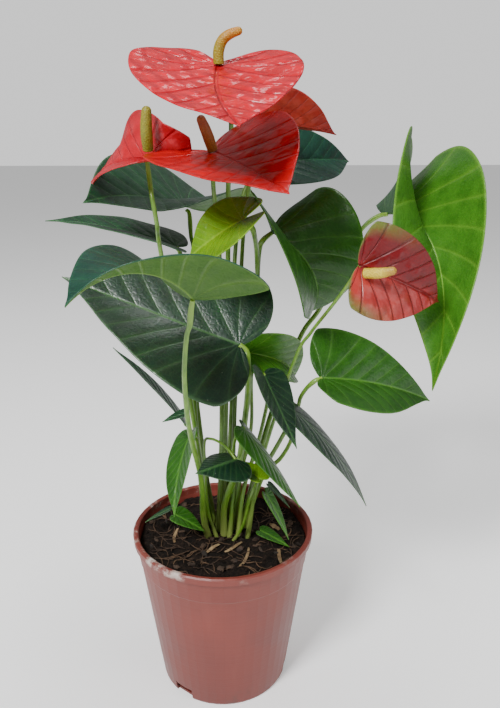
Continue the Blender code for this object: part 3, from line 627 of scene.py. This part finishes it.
spadixLooks = {
    "top": dict(base=(0.42, 0.15, 0.005), tip=(0.24, 0.25, 0.008), light=(0.5, 0.36, 0.03),
                pit=(0.2, 0.11, 0.005), change=(0.25, 0.75)),
    "front": dict(base=(0.33, 0.06, 0.006), tip=(0.34, 0.14, 0.01), light=(0.42, 0.18, 0.02),
                  pit=(0.2, 0.05, 0.005), change=(0.2, 0.9)),
    "left": dict(base=(0.24, 0.22, 0.01), tip=(0.2, 0.23, 0.01), light=(0.34, 0.34, 0.03),
                 pit=(0.13, 0.12, 0.008), change=(0.1, 0.8)),
    "rear": dict(base=(0.45, 0.12, 0.02), tip=(0.5, 0.3, 0.03), light=(0.6, 0.35, 0.08), pit=(0.3, 0.1, 0.02),
                 change=(0.2, 0.9)),
    "young": dict(base=(0.3, 0.12, 0.01), tip=(0.58, 0.44, 0.02), light=(0.68, 0.55, 0.08),
                  pit=(0.36, 0.25, 0.01), change=(0.1, 0.5)),
}

# Spadices: route from the spathe up to the tip and the radii along it, in mm.
spadices = {
    "top": (((1, -12, 396), (1, -13, 402), (3, -14, 407), (7, -15, 410), (13.4, -16, 412)),
            (2.8, 2.9, 2.6, 2.0)),
    "front": (((-3, -2, 352), (-6, -5, 361), (-10, -7, 370.5)), (2.9, 3.2, 3.0, 2.3)),
    "left": (((-40, 7, 352), (-40, 2, 363), (-39, -1, 375.5)), (3.0, 3.4, 3.2, 2.5)),
    "rear": (((29, 46, 369), (33, 49, 379), (38, 51, 387)), (2.8, 2.9, 2.6, 1.9)),
    "young": (((74, -61, 293), (81, -66, 294), (88.4, -69, 296)), (2.6, 2.8, 2.5, 1.9)),
}

smallLeaves = {
    "tiny_left": dict(start=(-21, -27, 203), tip=(-35, -30, 199), width=11, sag=2, paint="veined"),
    "soil_left": dict(start=(-36, 3, 121), tip=(-52, -1, 114), width=6, sag=3, paint="dark"),
    "soil_front": dict(start=(-31, -8, 123), tip=(-12, -14, 114), width=19, sag=2, paint="mid"),
    "soil_right_front": dict(start=(27, -26, 147), tip=(41, -32, 118), width=12, sag=5, paint="mid"),
    "soil_right_low": dict(start=(25, -9, 110), tip=(43, -19, 104), width=12, sag=3, paint="mid"),
    "soil_right_rear": dict(start=(32, 15, 131), tip=(46, 9, 116), width=7, sag=4, paint="dark"),
}


def smallShape(small):
    # The shape of a small leaf that runs straight from its start to its tip.
    run = Vector(small["tip"]) - Vector(small["start"])
    return dict(at=small["start"], heading=math.degrees(math.atan2(run.y, run.x)),
                rise=math.degrees(math.asin(run.z / run.length)) + small["sag"], roll=0, length=run.length,
                width=small["width"], droop=2 * small["sag"], fold=(10, 10), lobe=0.4)


leafTop = {name: leafMaterial(f"leaf {name}", look) for name, look in leafLooks.items()}
leafUnder = {name: leafMaterial(f"underside {name}", look, under=True) for name, look in underLooks.items()}
stalkSkin = {name: stalkMaterial(f"{name} stalk", look) for name, look in stalkLooks.items()}
spatheBack = spatheMaterial("spathe underside", spatheUnder, under=True)

for name, shape in leaves.items():
    top, under = leafPaint[name]
    small = shape["length"] < 50
    blade = makeBlade(f"{name}_leaf", shape, leafOutline, leafTop[top], leafUnder[under],
                      rows=60 if small else 96, columns=32 if small else 56)
    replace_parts(blade, f"leaf_{name}")
    petiole = makeTube(f"{name}_petiole", shape["stalk"], stalkRadius(shape["radii"], 0.25, 0.45),
                       stalkSkin["petiole"])
    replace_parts(petiole, f"petiole_{name}")
print("leaves", len(leaves))

for name, small in smallLeaves.items():
    blade = makeBlade(f"{name}_leaf", smallShape(small), leafOutline, leafTop[small["paint"]],
                      leafUnder["pale"], rows=40, columns=20, wave=0.5, count=4)
    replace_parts(blade, f"leaf_{name}")
print("small leaves", len(smallLeaves))

for name, shape in spathes.items():
    blade = makeBlade(f"{name}_spathe", shape, spatheOutline,
                      spatheMaterial(f"spathe {name}", spatheLooks[name]),
                      spatheBack, rows=110, columns=80, wave=1.0, pillow=0.6, count=6)
    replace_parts(blade, f"spathe_{name}")
    stalk = makeTube(f"{name}_stalk", shape["stalk"], stalkRadius(shape["radii"], 0.1, 0.5),
                     stalkSkin["flower"])
    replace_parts(stalk, f"flower_stalk_{name}")
    route, radii = spadices[name]
    length = sum(math.dist(a, b) for a, b in zip(route, route[1:]))
    spadix = makeTube(f"{name}_spadix", route, roundedRadius(radii, length),
                      spadixMaterial(f"spadix {name}", spadixLooks[name]), around=24, steps=60)
    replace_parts(spadix, f"spadix_{name}")
print("flowers", len(spathes))


def potMaterial(name):
    # Moulded plastic: faint turning rings, scuffs, and white lime left by watering along the rim.
    surface, tree, shader = newMaterial(name)
    place = node(tree, "ShaderNodeTexCoord", output=3)
    split = tree.nodes.new("ShaderNodeSeparateXYZ")
    tree.links.new(place, split.inputs[0])
    height = split.outputs[2]
    clouds = speckle(tree, place, 28.0, 4.0)
    grain = speckle(tree, place, 900.0, 3.0, 0.6)
    streaks = speckle(tree,
                      node(tree, "ShaderNodeMapping", {"Vector": place, "Scale": (160.0, 160.0, 14.0)}),
                      1.0, 4.0)
    colour = blend(tree, remap(tree, clouds, 0.3, 0.7), (0.15, 0.026, 0.018), (0.19, 0.036, 0.025))
    # Painted shade: the pot is darker towards the bottom.
    colour = blend(tree, remap(tree, height, 0.0, 0.11, 0.35, 0.0), colour, (0.1, 0.017, 0.012))
    colour = blend(tree, remap(tree, streaks, 0.55, 0.75, 0.0, 0.1), colour, (0.26, 0.07, 0.052))
    crust = calc(tree, "MULTIPLY", remap(tree, height, 0.1035, 0.1075),
                 remap(tree, speckle(tree, place, 70.0, 6.0, 0.7),
                                                                           0.52, 0.68))
    crust = calc(tree, "MULTIPLY", crust, remap(tree, speckle(tree, place, 16.0, 2.0), 0.42, 0.6, 0.15, 0.85))
    colour = blend(tree, crust, colour, (0.62, 0.56, 0.5))
    dirt = calc(tree, "MULTIPLY", remap(tree, height, 0.022, 0.0),
                remap(tree, speckle(tree, place, 90.0, 5.0, 0.7),
                                                                       0.5, 0.7))
    colour = blend(tree, calc(tree, "MULTIPLY", dirt, 0.5), colour, (0.07, 0.035, 0.025))
    rings = node(tree, "ShaderNodeTexNoise", {"Vector": node(tree, "ShaderNodeMapping",
                 {"Vector": place, "Scale": (6.0, 6.0, 700.0)}), "Scale": 1.0, "Detail": 2.0})
    normal = bumped(tree, rings, 0.14, 0.0006)
    normal = bumped(tree, calc(tree, "ADD", grain, crust), 0.22, 0.0003, normal)
    plug(tree, shader, Base_Color=colour, Normal=normal,
         Roughness=calc(tree, "ADD", remap(tree, clouds, 0.3, 0.7, 0.4, 0.5),
                        calc(tree, "MULTIPLY", crust, 0.35)))
    plug(tree, shader, Specular_IOR_Level=0.45)
    return surface


def paintNode(name, surface):
    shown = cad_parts[name]
    shown.data.materials.clear()
    shown.data.materials.append(surface)
    for face in shown.data.polygons:
        face.material_index = 0
    return shown


paintNode("pot", potMaterial("terracotta plastic"))
print("pot")


soil = dict(level=102.5, radius=55.6, floor=2.2, floorRadius=39.5, lump=2.4, chips=520, fibres=150, straws=9)


def soilMaterial(name):
    surface, tree, shader = newMaterial(name)
    place = node(tree, "ShaderNodeTexCoord", output=3)
    lumps = speckle(tree, place, 260.0, 8.0, 0.75)
    flecks = node(tree, "ShaderNodeTexVoronoi", {"Vector": place, "Scale": 520.0})
    fibres = node(tree, "ShaderNodeTexNoise",
                  {"Vector": place, "Scale": 130.0, "Detail": 6.0, "Distortion": 3.0})
    colour = blend(tree, remap(tree, lumps, 0.35, 0.7), (0.003, 0.002, 0.0015), (0.02, 0.012, 0.008))
    colour = blend(tree, remap(tree, fibres, 0.58, 0.66, 0.0, 0.4), colour, (0.045, 0.024, 0.013))
    colour = blend(tree, remap(tree, flecks, 0.14, 0.06, 0.0, 0.3), colour, (0.1, 0.06, 0.035))
    normal = bumped(tree, lumps, 1.0, 0.002)
    plug(tree, shader, Base_Color=colour, Normal=normal, Roughness=0.95, Specular_IOR_Level=0.2)
    return surface


def chipMaterial(name, dark, light, spread=300.0):
    surface, tree, shader = newMaterial(name)
    place = node(tree, "ShaderNodeTexCoord", output=3)
    grain = speckle(tree, node(tree, "ShaderNodeMapping", {"Vector": place, "Scale": (3.0, 1.0, 1.0)}),
                    spread, 5.0)
    tone = speckle(tree, place, 90.0, 2.0)
    colour = blend(tree, remap(tree, tone, 0.35, 0.65), dark, light)
    colour = blend(tree, remap(tree, grain, 0.35, 0.7, 0.0, 0.6), colour, dark)
    plug(tree, shader, Base_Color=colour, Normal=bumped(tree, grain, 0.6, 0.0006), Roughness=0.85)
    return surface


def soilHeight(x, y):
    # Lumpy near the wall, level round the stems; all in mm.
    rough = noise.fractal(Vector((x / 9, y / 9, 3.1)), 1.0, 2.2, 5) * soil["lump"]
    calm = min(max((math.hypot(x, y) - 14) / 16, 0.35), 1)
    return soil["level"] + rough * calm


def makeSoil():
    mix = bmesh.new()
    cells = 150
    bmesh.ops.create_grid(mix, x_segments=cells, y_segments=cells, size=1.0)
    for corner in mix.verts:
        u, v = corner.co.x, corner.co.y
        x = u * math.sqrt(1 - v * v / 2) * soil["radius"]
        y = v * math.sqrt(1 - u * u / 2) * soil["radius"]
        edge = max(abs(u), abs(v))
        height = soilHeight(x, y) if edge < 0.999 else soil["level"] - 2
        corner.co = Vector((x, y, height)) * mm
    rim = [edge for edge in mix.edges if edge.is_boundary]
    lowered = bmesh.ops.extrude_edge_only(mix, edges=rim)["geom"]
    for corner in [item for item in lowered if isinstance(item, bmesh.types.BMVert)]:
        shrink = soil["floorRadius"] / soil["radius"]
        corner.co = Vector((corner.co.x * shrink, corner.co.y * shrink, soil["floor"] * mm))
    bmesh.ops.holes_fill(mix, edges=[edge for edge in mix.edges if edge.is_boundary])
    bmesh.ops.recalc_face_normals(mix, faces=mix.faces)
    mesh = bpy.data.meshes.new("mix")
    mix.to_mesh(mesh)
    mix.free()
    mesh.shade_smooth()
    mesh.materials.append(soilMaterial("potting mix"))
    piece = bpy.data.objects.new("mix", mesh)
    bpy.context.scene.collection.objects.link(piece)
    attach(piece, "root")
    return piece


def scatterChips(name, count, size, stretch, surface, seed, reach=52):
    # Crumbs and chips of many sizes lying on the mix, as one piece.
    rng = random.Random(seed)
    chips = bmesh.new()
    for index in range(count):
        far = reach * math.sqrt(rng.random())
        turn = rng.uniform(0, 2 * math.pi)
        x, y = far * math.cos(turn), far * math.sin(turn)
        made = bmesh.ops.create_icosphere(chips, subdivisions=2, radius=0.5)["verts"]
        scale = Vector([rng.uniform(*size) * s for s in (1, rng.uniform(*stretch), rng.uniform(0.3, 0.7))])
        spin, tilt = rng.uniform(0, math.pi), rng.uniform(-0.4, 0.4)
        centre = Vector((x, y, soilHeight(x, y) + scale.z * 0.25))
        for corner in made:
            bump = 1 + 0.5 * noise.noise(corner.co * 4 + Vector((index, 0, 0)))
            local = Vector((corner.co.x * scale.x, corner.co.y * scale.y, corner.co.z * scale.z)) * bump
            local.z += local.x * tilt
            across = local.x * math.sin(spin) + local.y * math.cos(spin)
            local.x, local.y = local.x * math.cos(spin) - local.y * math.sin(spin), across
            corner.co = (centre + local) * mm
    mesh = bpy.data.meshes.new(name)
    chips.to_mesh(mesh)
    chips.free()
    mesh.materials.append(surface)
    piece = bpy.data.objects.new(name, mesh)
    bpy.context.scene.collection.objects.link(piece)
    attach(piece, "root")
    return piece


def scatterFibres(name, count, length, width, surface, seed, reach=50, curl=1.2):
    # Thin bent strips lying on the mix, as one piece with its thickness from Solidify.
    rng = random.Random(seed)
    strips = bmesh.new()
    for _ in range(count):
        far = reach * math.sqrt(rng.random())
        turn = rng.uniform(0, 2 * math.pi)
        x, y = far * math.cos(turn), far * math.sin(turn)
        heading, bend = rng.uniform(0, 2 * math.pi), rng.uniform(-curl, curl)
        long, wide = rng.uniform(*length), rng.uniform(*width)
        made = bmesh.ops.create_grid(strips, x_segments=10, y_segments=1, size=0.5)["verts"]
        lifted = rng.uniform(0.4, 1.4)
        for corner in made:
            along, side = corner.co.x, corner.co.y
            way = heading + bend * along
            px = x + math.cos(way) * along * long - math.sin(way) * side * wide * (1 - 1.5 * along ** 2)
            py = y + math.sin(way) * along * long + math.cos(way) * side * wide * (1 - 1.5 * along ** 2)
            if math.hypot(px, py) > 54.5:
                px, py = px * 54.5 / math.hypot(px, py), py * 54.5 / math.hypot(px, py)
            corner.co = Vector((px, py, soilHeight(px, py) + lifted * (1 - 3 * along ** 2) + 0.5)) * mm
    mesh = bpy.data.meshes.new(name)
    strips.to_mesh(mesh)
    strips.free()
    mesh.materials.append(surface)
    piece = bpy.data.objects.new(name, mesh)
    bpy.context.scene.collection.objects.link(piece)
    wall = piece.modifiers.new("Thickness", "SOLIDIFY")
    wall.thickness = 0.25 * mm
    wall.offset = 0
    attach(piece, "root")
    return piece


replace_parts(makeSoil(), "potting_mix")
barkSkin = chipMaterial("bark", (0.012, 0.007, 0.004), (0.06, 0.032, 0.017))
strawSkin = chipMaterial("straw", (0.12, 0.07, 0.03), (0.33, 0.23, 0.12), 120.0)
fibreSkin = chipMaterial("fibre", (0.03, 0.015, 0.008), (0.12, 0.065, 0.032), 120.0)
crumbSkin = soilMaterial("crumbs")
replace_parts(scatterChips("bark_chips", 46, (2.5, 6.5), (0.4, 0.8), barkSkin, 5), "bark_chip")
scatterChips("crumbs", soil["chips"], (0.9, 2.8), (0.6, 1.0), crumbSkin, 8, 53)
scatterFibres("fibres", soil["fibres"], (6, 20), (0.25, 0.7), fibreSkin, 11)
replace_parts(scatterFibres("straws", soil["straws"], (10, 24), (1.2, 2.8), strawSkin, 21, 46, 0.35),
            "straw_strip", "dead_sheath")
print("potting mix")


eye = dict(place=(0, -0.403, 0.361), tilt=72.1, turn=-2.57, lens=34.73)
camera = bpy.data.objects.new("camera", bpy.data.cameras.new("camera"))
bpy.context.scene.collection.objects.link(camera)
camera.location = eye["place"]
camera.rotation_euler = (math.radians(eye["tilt"]), 0, math.radians(eye["turn"]))
camera.data.lens = eye["lens"]
camera.data.sensor_width = 36
camera.data.clip_start = 0.01
camera.data.clip_end = 100
bpy.context.scene.camera = camera

floorMesh = bpy.data.meshes.new("floor")
slab = bmesh.new()
bmesh.ops.create_grid(slab, x_segments=1, y_segments=1, size=8)
slab.to_mesh(floorMesh)
slab.free()
floor = bpy.data.objects.new("floor", floorMesh)
bpy.context.scene.collection.objects.link(floor)
paper, tree, shader = newMaterial("pale floor")
plug(tree, shader, Base_Color=(0.9, 0.9, 0.9), Roughness=0.9, Specular_IOR_Level=0.1, Emission_Strength=0.3)
floorMesh.materials.append(paper)


def softLight(name, place, target, size, power, colour=(1, 1, 1)):
    lamp = bpy.data.objects.new(name, bpy.data.lights.new(name, "AREA"))
    bpy.context.scene.collection.objects.link(lamp)
    lamp.location = place
    lamp.rotation_euler = (Vector(target) - Vector(place)).to_track_quat("-Z", "Y").to_euler()
    lamp.data.shape = "RECTANGLE"
    lamp.data.size = size[0]
    lamp.data.size_y = size[1]
    lamp.data.energy = power
    lamp.data.color = colour
    return lamp


softLight("key", (-0.6, -0.9, 1.25), (0, 0, 0.3), (0.4, 0.4), 34)
softLight("overhead", (0.2, 0.3, 1.5), (0, 0, 0.3), (0.5, 0.5), 8)
softLight("fill", (1.3, -0.9, 0.6), (0, 0, 0.25), (1.0, 1.0), 9)
world = bpy.data.worlds.new("studio")
world.use_nodes = True
backdrop = world.node_tree.nodes["Background"]
backdrop.inputs["Color"].default_value = (1, 1, 1, 1)
rays = node(world.node_tree, "ShaderNodeLightPath")
seen = node(world.node_tree, "ShaderNodeMapRange", {0: rays, 3: 0.3, 4: 1.0})
world.node_tree.links.new(seen, backdrop.inputs["Strength"])
bpy.context.scene.world = world
print("stage")
